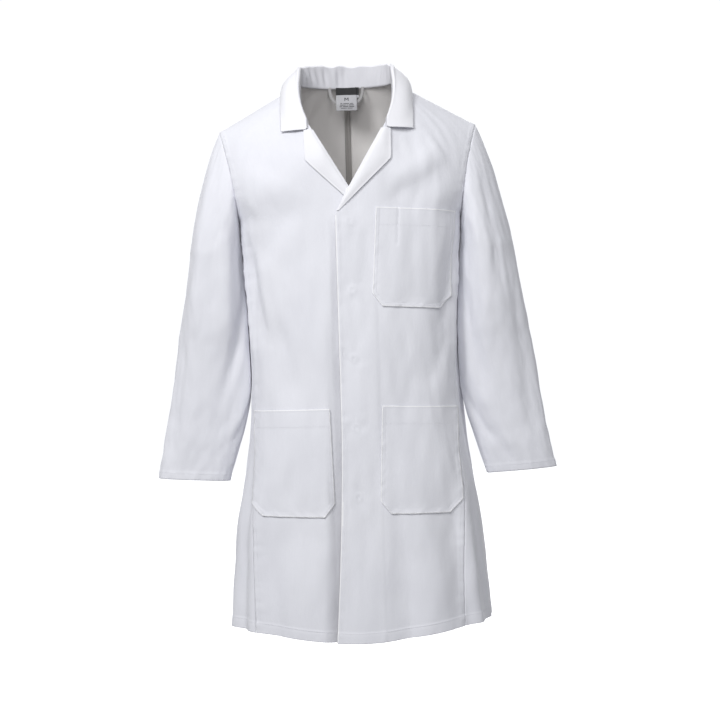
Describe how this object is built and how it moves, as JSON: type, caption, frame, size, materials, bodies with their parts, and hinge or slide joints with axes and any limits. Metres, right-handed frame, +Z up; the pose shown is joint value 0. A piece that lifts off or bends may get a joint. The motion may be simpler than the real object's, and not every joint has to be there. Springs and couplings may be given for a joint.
{
  "type": "lab coat",
  "caption": "Long-sleeved lab coat with notched collar, concealed front closure, chest pocket and two patch pockets, with fronts and sleeves that move.",
  "frame": {"origin": "middle of the neck opening, level with the neck ends of the shoulder seams, where a wearer's neck or a hanger holds the coat", "axes": "+Z up, the front faces -Y, the wearer's left is +X"},
  "size_m": [0.7328, 0.2931, 1.0398],
  "materials": {
    "coat_cloth": "bright white polyester-cotton twill, matt, lightly creased",
    "label_cloth": "smooth woven label cloth",
    "tape": "narrow white woven tape",
    "stud_metal": "satin press-stud metal"
  },
  "bodies": {
    "coat": {"front_left_upper": "coat_cloth", "front_right_upper": "coat_cloth", "back_left": "coat_cloth", "back_right": "coat_cloth", "back_seam": "coat_cloth", "facing_left_upper": "coat_cloth", "facing_right_upper": "coat_cloth", "lapel_left": "coat_cloth", "lapel_right": "coat_cloth", "collar_stand": "coat_cloth", "collar_leaf": "coat_cloth", "fly_strip_upper": "coat_cloth", "stud_socket_1": "stud_metal", "stud_socket_2": "stud_metal", "stud_post_1": "stud_metal", "stud_post_2": "stud_metal", "chest_pocket": "coat_cloth", "sleeve_head_left": "coat_cloth", "sleeve_head_right": "coat_cloth"},
    "left_sleeve": {"sleeve_left": "coat_cloth"},
    "right_sleeve": {"sleeve_right": "coat_cloth"},
    "left_front": {"front_left_lower": "coat_cloth", "facing_left_lower": "coat_cloth", "fly_strip_lower": "coat_cloth", "lower_pocket_left": "coat_cloth", "stud_socket_3": "stud_metal", "stud_socket_4": "stud_metal", "stud_socket_5": "stud_metal"},
    "right_front": {"front_right_lower": "coat_cloth", "facing_right_lower": "coat_cloth", "lower_pocket_right": "coat_cloth", "stud_post_3": "stud_metal", "stud_post_4": "stud_metal", "stud_post_5": "stud_metal"},
    "loop": {"hanger_loop": "tape"},
    "label": {"neck_label": "label_cloth", "care_label": "label_cloth"}
  },
  "joints": [
    {"name": "left_sleeve_lift", "type": "hinge", "parent": "coat", "child": "left_sleeve", "pos_m": [0.213, 0, -0.11], "axis": [0, -1, 0], "range_deg": [0, 45]},
    {"name": "right_sleeve_lift", "type": "hinge", "parent": "coat", "child": "right_sleeve", "pos_m": [-0.213, 0, -0.11], "axis": [0, 1, 0], "range_deg": [0, 45]},
    {"name": "left_front_open", "type": "hinge", "parent": "coat", "child": "left_front", "pos_m": [0.186, -0.04714, -0.476], "axis": [0, 0.146, 0.9893], "range_deg": [0, 60]},
    {"name": "right_front_open", "type": "hinge", "parent": "coat", "child": "right_front", "pos_m": [-0.186, -0.04714, -0.476], "axis": [0, 0.146, 0.9893], "range_deg": [-45, 0]},
    {"name": "loop_lift", "type": "hinge", "parent": "coat", "child": "loop", "pos_m": [0, 0.0392, 0.0155], "axis": [-1, 0, 0], "range_deg": [0, 60]},
    {"name": "label_lift", "type": "hinge", "parent": "coat", "child": "label", "pos_m": [0, 0.046, 0.0155], "axis": [-1, 0, 0], "range_deg": [0, 66.5]}
  ],
  "couplings": [
    {"joint": "right_front_open", "follows": "left_front_open", "ratio": -0.7},
    {"joint": "label_lift", "follows": "loop_lift", "ratio": 1.1}
  ]
}
